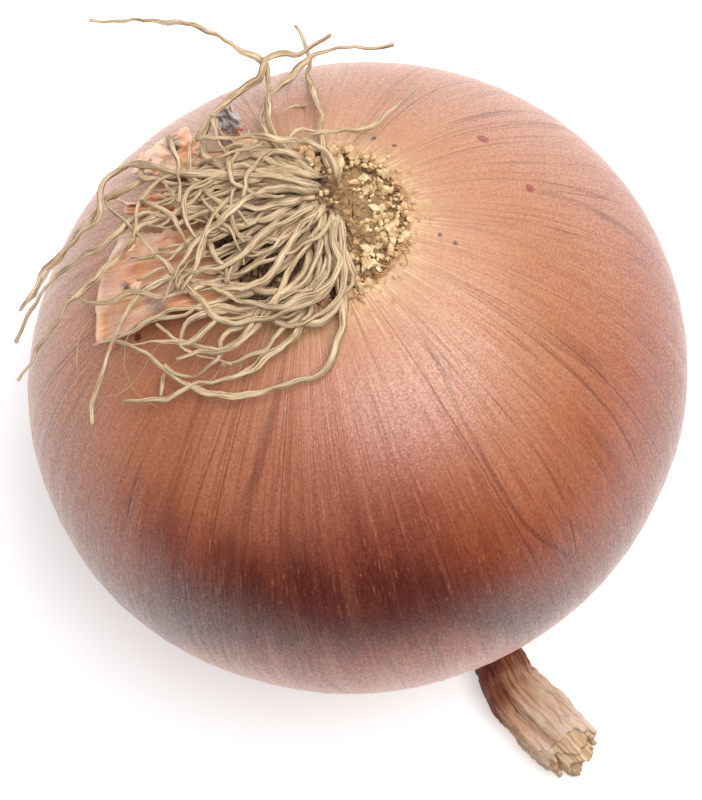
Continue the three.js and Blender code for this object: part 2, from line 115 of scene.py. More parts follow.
# Thin roots and hairs: a short end under the lowest loop, cross strands, a side branch, and fine hairs
THIN_ROOTS = [
    (1.2, 0.8, 0, [(-20.5, 7.2), (-21.5, 6.2), (-22.3, 4.4)]),
    (4.4, 0.8, 0, [(-3, 25), (-7.5, 24.5), (-8.5, 20), (-8, 18.5)]),
    (4.6, 0.7, 0, [(-5.5, 27), (-12.5, 26), (-13.5, 21.5), (-12.5, 19.5)]),
    (2.6, 0.5, 0, [(4.4, 31), (2, 31.8), (0, 31.5)]),
    (4.8, 0.8, 0, [(-6, 25), (-11, 22), (-14, 17.5), (-16.5, 15.5)]),
    (4.2, 0.7, 0, [(-9, 27.5), (-13, 28.5), (-17.5, 27), (-20, 23)]),
    (1.0, 0.12, 0, [(-20, 14), (-24, 12), (-25.5, 7), (-23, 3)]),
    (1.2, 0.12, 0, [(-18, 9), (-21, 10), (-25, 6.5), (-29, 6)]),
    (1.4, 0.12, 0, [(-26, 16), (-29, 14), (-31, 9.5)]),
    (1.2, 0.1, 0, [(-14, 7), (-16, 4.5), (-20.5, 4)]),
    (1.0, 0.12, 0, [(6, 25), (9, 26.5), (11.5, 25)]),
]
LOOSE_ROOTS = 24
ROOT_SEED = 11
ROOTLET_SEED = 23

# The torn skins: held edge and free edge as seen from above, size of the teeth, and how they stand off
TORN_SKINS = [
    ("torn_skin_lower", [(-9.5, 13.5), (-11, 17), (-11.5, 21)],
     [(-27.5, 12.2), (-26, 17.5), (-21.5, 23.5)], 0.35,
     lambda u, v: 0.75 + 1.7 * (1 - u) ** 2 * math.sin(math.pi * min(1, 1.1 * v)) + 0.4 * v),
    ("torn_skin_middle", [(-11, 22.5), (-10, 25.5)], [(-19.5, 25.2), (-20.5, 27.4)], 0.5,
     lambda u, v: 0.75 + 0.9 * u * v),
    ("torn_skin_upper", [(-9.5, 26.5), (-8.2, 27.3), (-7, 28)], [(-18, 30), (-15, 32.2), (-11.3, 33)], 0.4,
     lambda u, v: 0.75 + 1.1 * v * v),
    ("torn_skin_flake", [(-5.5, 28.6), (-3, 28.8)], [(-7.3, 33.6), (-4.9, 34.2)], 0.3,
     lambda u, v: 0.75 + 0.8 * v),
]

# Mouldy places on the torn skins, as seen from above: place, radius, strength
MOULD_SPOTS = [
    ((-12.6, 31.6), 0.9, 1.0),
    ((-5.8, 32.6), 2.2, 1.0),
    ((-3.6, 31.2), 1.2, 0.7),
    ((-22.5, 17.5), 0.55, 0.9),
    ((-19.8, 14.6), 1.1, 0.7),
]

# The neck's route, with half widths and half heights
NECK_ROUTE = [
    ((0, -16.5, 8.4), 6.2, 6.0),
    ((0.8, -21.5, 4.7), 6.0, 5.0),
    ((3, -28.5, 3.5), 3.7, 3.4),
    ((6.2, -37, 3.2), 2.8, 2.9),
    ((7, -41.5, 3.4), 3.3, 3.0),
    ((9.4, -46.5, 3.4), 3.9, 3.1),
    ((11.9, -51.8, 3.3), 3.9, 2.8),
]
NECK_LENGTH = 43

# The neck's sheaths: start, end, scale, raggedness, cut of the mouth on top, lip, faces round, rings along
NECK_SHEATHS = [
    ("neck_outer_sheath", 0.12, 0.92, 1.0, 0.03, 0.035, 0.1, 144, 150),
    ("neck_second_sheath", 0.6, 0.985, 0.97, 0.03, 0.06, 0.12, 96, 60),
    ("neck_inner_sheath", 0.75, 1.01, 0.84, 0.03, 0.05, 0.15, 80, 44),
    ("neck_heart", 0.8, 1.03, 0.58, 0.02, 0.02, 0.2, 48, 30),
]


def srgb(red, green, blue):
    """Linear colour, with alpha, of a colour given in the usual 0 to 255."""
    channels = [c / 255 for c in (red, green, blue)]
    return tuple(c / 12.92 if c <= 0.04045 else ((c + 0.055) / 1.055) ** 2.4 for c in channels) + (1.0,)


# Spots on the skin: place as seen from above, size, colour
SPOTS = [
    (21.9, 21.8, 0.72, srgb(136, 50, 30)),
    (25.4, 14.8, 0.6, srgb(136, 50, 30)),
    (9.9, 25.6, 0.35, srgb(84, 52, 40)),
    (11.9, 24.1, 0.3, srgb(84, 52, 40)),
    (13.9, 12.7, 0.3, srgb(92, 54, 40)),
    (15.3, 11.3, 0.26, srgb(92, 54, 40)),
    (-23.0, 11.6, 0.5, srgb(84, 38, 30)),
]

# Where the crust of old roots lies, with painted shade under the root heap, as seen from above
OLD_ROOTS_AND_SHADE = (-5.5, 16.5)


class OnionSizes(bpy.types.PropertyGroup):
    """Sizes of the bulb and of what grows on it"""

    equator_radius: bpy.props.FloatProperty(
        name="Equator radius", description="Half the bulb's width, in millimetres",
        default=38.2, min=10)
    pole_distance: bpy.props.FloatProperty(
        name="Pole distance", description="From the bulb's middle to its root pole, in millimetres",
        default=31.7, min=10)
    vein_height: bpy.props.FloatProperty(
        name="Vein height", description="How far the skin's veins stand up, in millimetres",
        default=0.07, min=0)
    rootlets: bpy.props.IntProperty(
        name="Rootlets", description="Number of thin roots among the thick ones",
        default=40, min=0)
    tangled: bpy.props.IntProperty(
        name="Tangled roots", description="Number of roots that wind across the heap",
        default=16, min=0)
    stubs: bpy.props.IntProperty(
        name="Root stubs", description="Number of broken stubs on the root plate",
        default=620, min=0)
    frayed_fibres: bpy.props.IntProperty(
        name="Frayed fibres", description="Number of torn fibres round the root plate",
        default=220, min=0)
    skin_thickness: bpy.props.FloatProperty(
        name="Skin thickness", description="Thickness of the torn skins, in millimetres",
        default=0.16, min=0.05)


class OnionColours(bpy.types.PropertyGroup):
    """Colours of the onion's dry skins and roots"""

    cream: bpy.props.FloatVectorProperty(
        name="Cream", description="Skin beside the root plate",
        subtype="COLOR", size=4, default=srgb(196, 154, 116))
    copper: bpy.props.FloatVectorProperty(
        name="Copper", description="Skin between the dark zone and the roots",
        subtype="COLOR", size=4, default=srgb(178, 110, 77))
    # The dark zone's colour: the skin's own red-brown, made darker as painted shade
    red_brown: bpy.props.FloatVectorProperty(
        name="Red brown", description="Dark zone of the skin",
        subtype="COLOR", size=4, default=srgb(92, 27, 15))
    straw: bpy.props.FloatVectorProperty(
        name="Straw", description="Dry roots",
        subtype="COLOR", size=4, default=srgb(210, 184, 148))
    orange: bpy.props.FloatVectorProperty(
        name="Orange", description="Torn skins",
        subtype="COLOR", size=4, default=srgb(222, 158, 114))


# Numbers and shapes

def mix(a, b, share):
    return a + (b - a) * share


def smooth_step(x, low, high):
    share = min(1.0, max(0.0, (x - low) / (high - low)))
    return share * share * (3 - 2 * share)


class PartRandom:
    """The part's own random numbers, so that its roots come out in the same places here"""

    def __init__(self, seed):
        self.state = seed

    def __call__(self, low, high):
        self.state = (self.state * 1664525 + 1013904223) % 2**32
        return low + (high - low) * self.state / 2**32


class Bulb:
    """The bulb's outside: its profile beside the axis and its upper side over any place"""

    def __init__(self, sizes):
        self.a = sizes.equator_radius
        self.c = sizes.pole_distance
        self.rim_depth = math.hypot(self.a * COS, self.c * SIN)

    def dome(self, distance):
        """Height of the outside above the middle, toward the root pole, at a distance from the axis."""
        return self.c * math.sqrt(1 - (distance / self.a) ** 2)

    def skin_at(self, x, y):
        """Height and normal of the upper side over a place; beyond the rim it runs on level."""
        outwards = max(1.0, math.hypot(x / self.a, y / self.rim_depth) / 0.955)
        px, py = x / outwards, y / outwards
        flat, tall = self.a**-2, self.c**-2
        p = SIN * SIN * flat + COS * COS * tall
        q = 2 * py * SIN * COS * (tall - flat)
        r = px * px * flat + py * py * (COS * COS * flat + SIN * SIN * tall) - 1
        z = (-q + math.sqrt(q * q - 4 * p * r)) / (2 * p)
        normal = Vector((
            px * flat,
            py * (COS * COS * flat + SIN * SIN * tall) + z * SIN * COS * (tall - flat),
            z * p + py * SIN * COS * (tall - flat),
        ))
        return CENTRE_HEIGHT + z, normal.normalized()

    def lifted(self, seen_x, seen_y, lift):
        """The point that the eye sees at a place, some lift off the skin."""
        x, y, z = seen_x, seen_y, CENTRE_HEIGHT
        for _ in range(8):
            height, normal = self.skin_at(x, y)
            z = height + lift / max(normal.z, 0.5)
            nearer = 1 - (z - CENTRE_HEIGHT) / EYE_HEIGHT
            x = EYE.x + (seen_x - EYE.x) * nearer
            y = EYE.y + (seen_y - EYE.y) * nearer
        return Vector((x, y, z))


def lean_matrix():
    """From the bulb's own frame, root pole along +Z, to the leaning bulb, in metres."""
    raised = Matrix.Translation((0, 0, CENTRE_HEIGHT * MM))
    return raised @ Matrix.Rotation(-LEAN, 4, "X") @ Matrix.Scale(MM, 4)


def through(places, steps_between):
    """A smooth curve through places: points of a Catmull-Rom spline."""
    points = [Vector(p) for p in places]
    ends = [points[0] * 2 - points[1], *points, points[-1] * 2 - points[-2]]
    curve = []
    for before, start, end, after in zip(ends, ends[1:], ends[2:], ends[3:]):
        for step in range(steps_between):
            t = step / steps_between
            squared = (2 * before - 5 * start + 4 * end - after) * t**2
            cubed = (3 * start - before - 3 * end + after) * t**3
            curve.append(0.5 * (2 * start + (end - before) * t + squared + cubed))
    curve.append(points[-1])
    return curve


def even_steps(curve, stride):
    """Points a stride apart along a curve, with the distance of each."""
    walked = [0.0]
    for here, following in zip(curve, curve[1:]):
        walked.append(walked[-1] + (following - here).length)
    count = max(4, round(walked[-1] / stride))
    places, i = [], 0
    for step in range(count + 1):
        distance = walked[-1] * step / count
        while i < len(walked) - 2 and walked[i + 1] < distance:
            i += 1
        share = (distance - walked[i]) / max(walked[i + 1] - walked[i], 1e-9)
        places.append((distance, curve[i].lerp(curve[i + 1], min(1, share))))
    return places


def round_place(angle, spread, height):
    """A place for the noise that comes back to itself after a full turn."""
    return Vector((math.cos(angle) * spread, math.sin(angle) * spread, height))


def spun(profile, steps, merged_below):
    """An outline, as distances from the axis with heights, spun round it."""
    bm = bmesh.new()
    verts = [bm.verts.new((out, 0, height)) for out, height in profile]
    edges = [bm.edges.new(pair) for pair in zip(verts, verts[1:])]
    bmesh.ops.spin(bm, geom=verts + edges, cent=(0, 0, 0), axis=(0, 0, 1), angle=2 * math.pi, steps=steps,
                   use_merge=True, use_duplicate=False)
    bmesh.ops.remove_doubles(bm, verts=bm.verts, dist=merged_below)
    return bm


def new_piece(name, bm, material, replaced):
    """Makes a piece that rides on the onion, takes a slot's finish and stands for nodes of the part."""
    mesh = bpy.data.meshes.new(name)
    bm.to_mesh(mesh)
    bm.free()
    for polygon in mesh.polygons:
        polygon.use_smooth = True
    mesh.materials.append(material)
    piece = bpy.data.objects.new(name, mesh)
    bpy.context.collection.objects.link(piece)
    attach(piece, BODY)
    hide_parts(*replaced)
    return piece


# Roots

def root_lift(along, x, y, layer, end_lift):
    """How far a root lies off the bulb, as on the part."""
    over_held_edges = 1.3 * smooth_step(-x, 2, 8)
    over_far_skin = 1.5 * smooth_step(-x, 10, 15) * smooth_step(y, 6, 10)
    clear = 0.95 + over_held_edges + over_far_skin
    risen = smooth_step(along, 0, 3)
    return mix(-1.6, max(layer, clear), risen) + end_lift * smooth_step(along, 20, 45)


def loose_root_places(share, draw):
    """One more root of the heap, bent round from its start to the common direction, in waves."""
    start = math.radians(mix(126, 255, share) + draw(-8, 8))
    end = math.radians(mix(200, 165, share) + draw(-10, 10))
    reach = mix(8, 15, share)
    length = mix(16, 30, share) * draw(0.75, 1.2)
    wave = math.radians(draw(8, 20))
    wave_length = draw(8, 13)
    phase = draw(0, 2 * math.pi)
    x = mix(3.5, 1.5, share) + draw(-2.5, 1)
    y = mix(24, 17, share) + draw(-1.5, 1.5)
    places = [(x, y)]
    stride = length / 8
    along = stride / 2
    while along < length:
        swing = wave * math.sin(2 * math.pi * along / wave_length + phase)
        heading = end + (start - end) * math.exp(-((along / reach) ** 2)) + swing
        x += stride * math.cos(heading)
        y += stride * math.sin(heading)
        places.append((x, y))
        along += stride
    return places


def strand_path(bulb, places, layer, end_lift, rng, stride=0.8, kink=0.17):
    """The middle line of a root: over its places, with the small kinks of a dried root."""
    curve = through([(x, y, 0) for x, y in places], 12)
    phases = [rng.uniform(0, 2 * math.pi) for _ in range(6)]
    waves = [rng.uniform(2.4, 3.6), rng.uniform(4.5, 7.5)]
    points = []
    for distance, place in even_steps(curve, stride):
        free = smooth_step(distance, 1, 6) * kink
        sway = [math.sin(2 * math.pi * distance / waves[i % 2] + phases[i]) for i in range(6)]
        x = place.x + free * (0.45 * sway[0] + 0.8 * sway[1])
        y = place.y + free * (0.45 * sway[2] + 0.8 * sway[3])
        lift = root_lift(distance, place.x, place.y, layer, end_lift)
        points.append(bulb.lifted(x, y, lift + free * (0.4 * sway[4] + 0.7 * sway[5])))
    return points


def add_strand(target, points, radius, sides, rng, groove=0.2, flatten=0.38, tip=0.55):
    """Sweeps a grooved, slightly flat, twisting section along a path, and adds it to a mesh in the making."""
    bm = bmesh.new()
    trace = bm.verts.layers.float_vector.new("strand")
    ring = bmesh.ops.create_circle(bm, cap_ends=False, segments=sides, radius=1)["verts"]
    edges = list(bm.edges)
    shift = rng.uniform(0, 100)
    phase = rng.uniform(0, 2 * math.pi)
    twist = rng.uniform(0.12, 0.35) * rng.choice((-1, 1))
    bumps = [rng.uniform(0, 2 * math.pi) for _ in range(3)]
    side = Vector((0, 0, 1)).cross(points[1] - points[0]).normalized()
    walked = 0.0
    first_ring = list(ring)
    for i, point in enumerate(points):
        if i:
            made = bmesh.ops.extrude_edge_only(bm, edges=edges)["geom"]
            edges = [e for e in made if isinstance(e, bmesh.types.BMEdge)]
            # An extruded ring comes in the order of its edges, so each vertex finds the one it came from
            previous = {v: n for n, v in enumerate(ring)}
            following = [None] * sides
            for vert in (v for v in made if isinstance(v, bmesh.types.BMVert)):
                for edge in vert.link_edges:
                    came_from = edge.other_vert(vert)
                    if came_from in previous:
                        following[previous[came_from]] = vert
            ring = following
            walked += (point - points[i - 1]).length
        forward = (points[min(i + 1, len(points) - 1)] - points[max(i - 1, 0)]).normalized()
        side = (side - forward * side.dot(forward)).normalized()
        up = forward.cross(side)
        share = i / (len(points) - 1)
        lumps = 1 + 0.09 * math.sin(walked / 0.9 + bumps[0]) + 0.08 * math.sin(walked / 2.3 + bumps[1])
        size = radius * lumps * mix(1, tip, smooth_step(share, 0.55, 1))
        for n, vert in enumerate(ring):
            angle = 2 * math.pi * n / sides
            turned = angle + twist * walked + phase
            grooved = 1 - groove * max(0.0, math.cos(2 * turned + bumps[2])) ** 2
            grooved -= 0.5 * groove * math.cos(3 * turned)
            out = size * grooved
            reach = side * (math.cos(angle) * out) + up * (math.sin(angle) * out)
            flat_axis = side * math.cos(twist * walked) + up * math.sin(twist * walked)
            reach -= flat_axis * reach.dot(flat_axis) * flatten
            vert.co = (point + reach) * MM
            vert[trace] = Vector((math.cos(angle) + shift, math.sin(angle), walked))
    for ends in (first_ring, ring):
        middle = sum((v.co for v in ends), Vector()) / sides
        cap = bmesh.ops.contextual_create(bm, geom=ends)["faces"]
        poked = bmesh.ops.poke(bm, faces=cap)["verts"]
        for vert in poked:
            outward = (points[-1] - points[-2]) if ends is ring else (points[0] - points[1])
            vert.co = middle + outward.normalized() * radius * 0.35 * MM
            vert[trace] = ends[0][trace]
    bmesh.ops.recalc_face_normals(bm, faces=bm.faces)
    mesh = bpy.data.meshes.new("strand")
    bm.to_mesh(mesh)
    bm.free()
    target.from_mesh(mesh)
    bpy.data.meshes.remove(mesh)


# Materials

class Nodes:
    """A node tree, with short ways to place nodes, link them and reckon with them"""

    def __init__(self, tree):
        self.tree = tree

    def put(self, value, socket):
        """Links a node's output to a socket, or sets the socket to a plain value."""
        if isinstance(value, bpy.types.NodeSocket):
            self.tree.links.new(value, socket)
        else:
            socket.default_value = value

    def node(self, kind, inputs=None, **settings):
        made = self.tree.nodes.new(kind)
        for key, value in settings.items():
            setattr(made, key, value)
        for key, value in (inputs or {}).items():
            self.put(value, made.inputs[key])
        return made

    def math(self, operation, a, b=0.0, clamp=False):
        return self.node("ShaderNodeMath", {0: a, 1: b}, operation=operation, use_clamp=clamp).outputs[0]

    def times(self, a, b):
        return self.math("MULTIPLY", a, b)

    def plus(self, first, *others):
        """The sum of values, added one after the other."""
        for other in others:
            first = self.math("ADD", first, other)
        return first

    def swing(self, pattern, reach):
        """A pattern from 0 to 1 swung about its middle; the reach is from end to end."""
        return self.times(self.math("SUBTRACT", pattern, 0.5), reach)

    def split(self, vector):
        return self.node("ShaderNodeSeparateXYZ", {0: vector}).outputs

    def join(self, x, y, z):
        return self.node("ShaderNodeCombineXYZ", {0: x, 1: y, 2: z}).outputs[0]

    def stretched(self, vector, *scales):
        """A coordinate times one number for each of its parts."""
        values = {0: vector, 1: scales}
        return self.node("ShaderNodeVectorMath", values, operation="MULTIPLY").outputs["Vector"]

    def noise(self, vector, scale=1.0, detail=3.0, roughness=0.55, distortion=0.0):
        values = {"Vector": vector, "Scale": scale, "Detail": detail}
        values.update({"Roughness": roughness, "Distortion": distortion})
        return self.node("ShaderNodeTexNoise", values).outputs["Fac"]

    def borders(self, vector, scale):
        """How far a place lies from the nearest border between cells."""
        values = {"Vector": vector, "Scale": scale}
        return self.node("ShaderNodeTexVoronoi", values, feature="DISTANCE_TO_EDGE").outputs["Distance"]

    def span(self, value, low, high, to_low=0.0, to_high=1.0):
        """A smooth step of a value from low to high, given out from to_low to to_high."""
        values = {"Value": value, "From Min": low, "From Max": high, "To Min": to_low, "To Max": to_high}
        return self.node("ShaderNodeMapRange", values, interpolation_type="SMOOTHSTEP").outputs["Result"]

    def ramp(self, value, stops):
        made = self.node("ShaderNodeValToRGB", {"Fac": value})
        elements = made.color_ramp.elements
        while len(elements) < len(stops):
            elements.new(0.5)
        for element, (position, colour) in zip(elements, stops):
            element.position = position
            element.color = colour
        return made.outputs["Color"]

    def blend(self, share, a, b, mode="MIX"):
        values = {0: share, 6: a, 7: b}
        return self.node("ShaderNodeMix", values, data_type="RGBA", blend_type=mode).outputs[2]

    def over(self, base, *coats):
        """A base colour with others laid over it in turn, each by its share."""
        for share, colour in coats:
            base = self.blend(share, base, colour)
        return base

    def tint(self, share, base, colour):
        """A base colour darkened through another one, by a share."""
        return self.blend(share, base, self.blend(1.0, base, colour, "MULTIPLY"))


class Finish(Nodes):
    """A new material, with the coordinates that the onion's patterns follow"""

    def __init__(self, name):
        self.material = bpy.data.materials.new(name)
        self.material.use_nodes = True
        super().__init__(self.material.node_tree)
        self.shader = self.tree.nodes["Principled BSDF"]

    def place(self, origin=(0, 0, 0), turn=(0, 0, 0)):
        """Object coordinates in millimetres, from an origin and turn of their own."""
        place = self.node("ShaderNodeTexCoord").outputs["Object"]
        values = {"Vector": place, "Location": origin, "Rotation": turn, "Scale": (MM, MM, MM)}
        return self.node("ShaderNodeMapping", values, vector_type="TEXTURE").outputs["Vector"]

    def local(self):
        """Object coordinates in millimetres in the bulb's own frame, root pole along +Z."""
        return self.place((0, 0, CENTRE_HEIGHT * MM), (-LEAN, 0, 0))

    def attribute(self, name, output="Vector"):
        return self.node("ShaderNodeAttribute", attribute_name=name).outputs[output]

    def off_axis(self, x, y):
        """How far a place lies from the bulb's axis."""
        return self.math("SQRT", self.plus(self.times(x, x), self.times(y, y)))

    def off_point(self, point):
        """How far a place lies from a point, in millimetres."""
        values = {0: self.place(), 1: point}
        return self.node("ShaderNodeVectorMath", values, operation="DISTANCE").outputs["Value"]

    def around_axis(self, local, around, lengthwise, drift=0.0):
        """A coordinate whose pattern runs along the meridians: by direction round the axis, slow along it."""
        x, y, z = self.split(local)
        radius = self.math("MAXIMUM", self.off_axis(x, y), 0.01)
        out_x = self.times(self.math("DIVIDE", x, radius), around)
        out_y = self.times(self.math("DIVIDE", y, radius), around)
        if drift:
            wander = self.swing(self.noise(local, 0.05, 0), drift)
            out_x = self.plus(out_x, wander)
            out_y = self.math("SUBTRACT", out_y, wander)
        return self.join(out_x, out_y, self.times(z, lengthwise))

    def bump(self, height, strength, distance, coated=False):
        values = {"Height": height, "Strength": strength, "Distance": distance * MM}
        normal = self.node("ShaderNodeBump", values).outputs["Normal"]
        self.put(normal, self.shader.inputs["Normal"])
        if coated:
            self.put(normal, self.shader.inputs["Coat Normal"])

    def done(self, colour, roughness, **sockets):
        for name, value in {"Base_Color": colour, "Roughness": roughness, **sockets}.items():
            self.put(value, self.shader.inputs[name.replace("_", " ")])
        return self.material


def skin_material(colours, sizes):
    """Dry papery skin: streaks along the meridians, dark veins, a dark red-brown zone partly of painted
    shade, cream by the roots.
    """
    skin = Finish("bulb_skin")
    bulb = Bulb(sizes)
    local = skin.local()
    x, y, z = skin.split(local)
    mottle = skin.noise(local, 0.07, 4, 0.6)
    grit = skin.noise(local, 3.6, 3, 0.65)
    crumbs = skin.noise(local, 0.9, 5, 0.7)
    streaks = skin.noise(skin.around_axis(local, 44, 0.05), 1, 5, 0.6)
    fibres = skin.noise(skin.around_axis(local, 110, 0.22), 1, 3, 0.6)
    wide = skin.noise(skin.around_axis(local, 5, 0.03), 1, 3, 0.5)
    strokes = skin.noise(skin.around_axis(local, 130, 0.75), 1, 3, 0.6)

    # From 0 toward the neck to 1 by the roots: the dark zone lies in between, bent up at both sides. The dark
    # zone's red-brown is partly the skin's own colour and partly painted shade.
    aside = skin.math("ABSOLUTE", skin.plus(x, 10))
    height = skin.plus(
        skin.math("DIVIDE", z, sizes.pole_distance),
        skin.swing(streaks, 0.24),
        skin.swing(strokes, 0.38),
        skin.swing(wide, 0.36),
        skin.span(aside, 8, 28, 0, 0.52),
        skin.span(y, -12, 25, -0.14, 0.26),
    )
    height = skin.math("ADD", skin.times(height, 0.5), 0.5, clamp=True)
    base = skin.ramp(height, [
        (0.0, srgb(184, 108, 78)),
        (0.34, srgb(186, 106, 74)),
        (0.43, srgb(156, 78, 50)),
        (0.51, colours.red_brown),
        (0.61, colours.red_brown),
        (0.71, srgb(136, 60, 34)),
        (0.8, srgb(162, 88, 57)),
        (0.9, colours.copper),
        (1.0, srgb(186, 128, 94)),
    ])
    base = skin.over(base, (skin.span(streaks, 0.5, 0.8, 0, 0.15), srgb(204, 144, 110)))
    base = skin.tint(skin.span(fibres, 0.55, 0.3, 0, 0.28), base, srgb(200, 140, 110))
    flank = skin.times(skin.span(x, 6, 22, 0, 0.45), skin.span(z, 24, 10))
    shoulder = skin.times(skin.span(x, -2, -16, 0, 0.35), skin.span(z, 13, 21))
    base = skin.over(
        base,
        (skin.span(mottle, 0.45, 0.75, 0, 0.3), srgb(160, 84, 48)),
        (flank, srgb(158, 82, 50)),
        (shoulder, srgb(200, 138, 102)),
    )

    broken = skin.span(skin.noise(skin.around_axis(local, 6, 0.1), 1, 2), 0.36, 0.6)
    vein_borders = skin.borders(skin.around_axis(local, 5, 0.006, 0.3), 1)
    veins = skin.times(skin.span(vein_borders, 0.02, 0.004), broken)
    thin_borders = skin.borders(skin.around_axis(local, 17, 0.012, 0.6), 1)
    thin_veins = skin.times(skin.span(thin_borders, 0.06, 0.01, 0, 0.4), broken)
    base = skin.over(
        base,
        (thin_veins, srgb(122, 52, 28)),
        (skin.times(veins, 0.55), srgb(104, 42, 26)),
        (skin.span(strokes, 0.59, 0.74, 0, 0.34), srgb(214, 140, 94)),
    )
    base = skin.tint(skin.span(grit, 0.6, 0.36, 0, 0.55), base, srgb(206, 176, 160))

    # Round the root plate: a pale collar, crumbs, frayed fibres, and the crust of old roots, darkened with
    # painted shade under the root heap
    upper = skin.math("GREATER_THAN", z, 0.0)
    ragged = skin.plus(skin.off_axis(x, y), skin.swing(streaks, 14))
    collar = skin.times(skin.span(ragged, 16.5, 11.0, 0, 0.7), upper)
    glow = skin.times(skin.span(ragged, 27, 12, 0, 0.42), upper)
    crumbly = skin.plus(ragged, skin.times(crumbs, 5))
    crumb_zone = skin.times(skin.span(crumbly, 17, 12.5, 0, 0.75), upper)
    crumb_tone = skin.ramp(crumbs, [
        (0.36, srgb(150, 104, 64)),
        (0.48, srgb(206, 168, 122)),
        (0.6, srgb(230, 202, 160)),
    ])
    by_plate = skin.times(skin.span(ragged, 15, 10.6, 0, 0.45), upper)
    frayed = skin.times(skin.span(fibres, 0.52, 0.6), by_plate)
    old_roots_and_shade = skin.off_point(bulb.lifted(*OLD_ROOTS_AND_SHADE, 0))
    crust_and_shade_reach = skin.plus(old_roots_and_shade, skin.swing(skin.noise(local, 0.5, 5, 0.7), 12))
    # The crust's own browns, and near-black tones that are painted shade under the roots
    crust_and_shade = skin.ramp(skin.noise(local, 1.4, 5, 0.7), [
        (0.35, srgb(40, 26, 28)),
        (0.5, srgb(84, 58, 50)),
        (0.68, srgb(140, 106, 78)),
    ])
    base = skin.over(
        base,
        (collar, colours.cream),
        (glow, srgb(200, 150, 112)),
        (crumb_zone, crumb_tone),
        (frayed, srgb(150, 98, 60)),
        (skin.span(crust_and_shade_reach, 8.5, 5.5, 0, 0.95), crust_and_shade),
    )
    for spot_x, spot_y, size, colour in SPOTS:
        edge = skin.plus(skin.off_point(bulb.lifted(spot_x, spot_y, 0)), skin.swing(crumbs, size * 1.6))
        base = skin.over(base, (skin.span(edge, size * 1.25, size * 0.7, 0, 0.9), colour))

    relief = skin.plus(
        skin.times(fibres, 0.7),
        skin.times(streaks, 0.8),
        skin.times(veins, -0.5),
        skin.times(strokes, 0.5),
        skin.times(skin.noise(local, 4.0, 3, 0.6), 0.5),
    )
    skin.bump(relief, 0.45, 0.13, coated=True)
    return skin.done(
        base,
        skin.span(streaks, 0.3, 0.7, 0.36, 0.48),
        Sheen_Weight=0.24,
        Sheen_Roughness=0.3,
        Sheen_Tint=(1.0, 0.68, 0.54, 1.0),
        Specular_IOR_Level=0.55,
        Coat_Weight=skin.span(grit, 0.4, 0.62, 0.1, 0.75),
        Coat_Roughness=0.28,
        Coat_Tint=(1.0, 0.96, 0.95, 1.0),
    )


def root_material(colours):
    """Dry straw-coloured root: streaks along it, dark grooves, brown patches."""
    root = Finish("dry_root")
    trace = root.attribute("strand")
    streaks = root.noise(root.stretched(trace, 2.2, 2.2, 0.35), 1, 4, 0.6)
    patches = root.noise(root.stretched(trace, 1, 1, 0.22), 0.9, 3)
    base = root.ramp(streaks, [
        (0.32, srgb(108, 80, 60)),
        (0.42, srgb(168, 138, 106)),
        (0.53, colours.straw),
        (0.7, srgb(230, 210, 178)),
    ])
    base = root.over(
        base,
        (root.span(patches, 0.52, 0.72, 0, 0.6), srgb(122, 92, 66)),
        (root.span(patches, 0.36, 0.2, 0, 0.4), srgb(210, 180, 132)),
    )
    root.bump(root.plus(streaks, root.times(root.noise(trace, 3.0, 2), 0.4)), 0.7, 0.16)
    return root.done(base, 0.78, Specular_IOR_Level=0.3)


def plate_material():
    """Corky root plate: near-black purple cracks, brown cork, straw grains, tan at one side."""
    plate = Finish("corky_plate")
    place = plate.place()
    grain = plate.noise(place, 0.9, 5, 0.7)
    cracks = plate.borders(place, 1.1)
    base = plate.ramp(grain, [
        (0.3, srgb(74, 50, 46)),
        (0.43, srgb(124, 92, 72)),
        (0.56, srgb(166, 132, 98)),
        (0.75, srgb(204, 174, 132)),
    ])
    side, _, _ = plate.split(plate.local())
    bare = plate.span(plate.plus(side, plate.times(grain, 4)), 4.0, 7.0, 0, 0.6)
    base = plate.over(
        base,
        (plate.span(cracks, 0.09, 0.0, 0, 0.8), srgb(56, 36, 36)),
        (bare, srgb(186, 146, 102)),
    )
    plate.bump(plate.plus(grain, plate.span(cracks, 0.0, 0.3)), 0.9, 0.5)
    return plate.done(base, 0.9, Specular_IOR_Level=0.2)


def stub_material():
    """Broken root stubs: straw, with pale pith and brown edges."""
    stub = Finish("root_stub")
    place = stub.place()
    base = stub.ramp(stub.noise(place, 0.8, 4, 0.6), [
        (0.3, srgb(140, 102, 70)),
        (0.4, srgb(196, 158, 112)),
        (0.54, srgb(224, 194, 150)),
        (0.7, srgb(242, 222, 184)),
    ])
    stub.bump(stub.noise(place, 3.0, 3), 0.7, 0.2)
    return stub.done(base, 0.7, Specular_IOR_Level=0.4, Subsurface_Weight=0.15, Subsurface_Scale=0.0008)


def fray_material():
    """Torn fibres of skin round the plate, cream to tan."""
    fray = Finish("frayed_fibre")
    tone = fray.noise(fray.place(), 0.7, 3)
    return fray.done(fray.ramp(tone, [(0.35, srgb(176, 126, 86)), (0.6, srgb(210, 168, 126))]), 0.6)


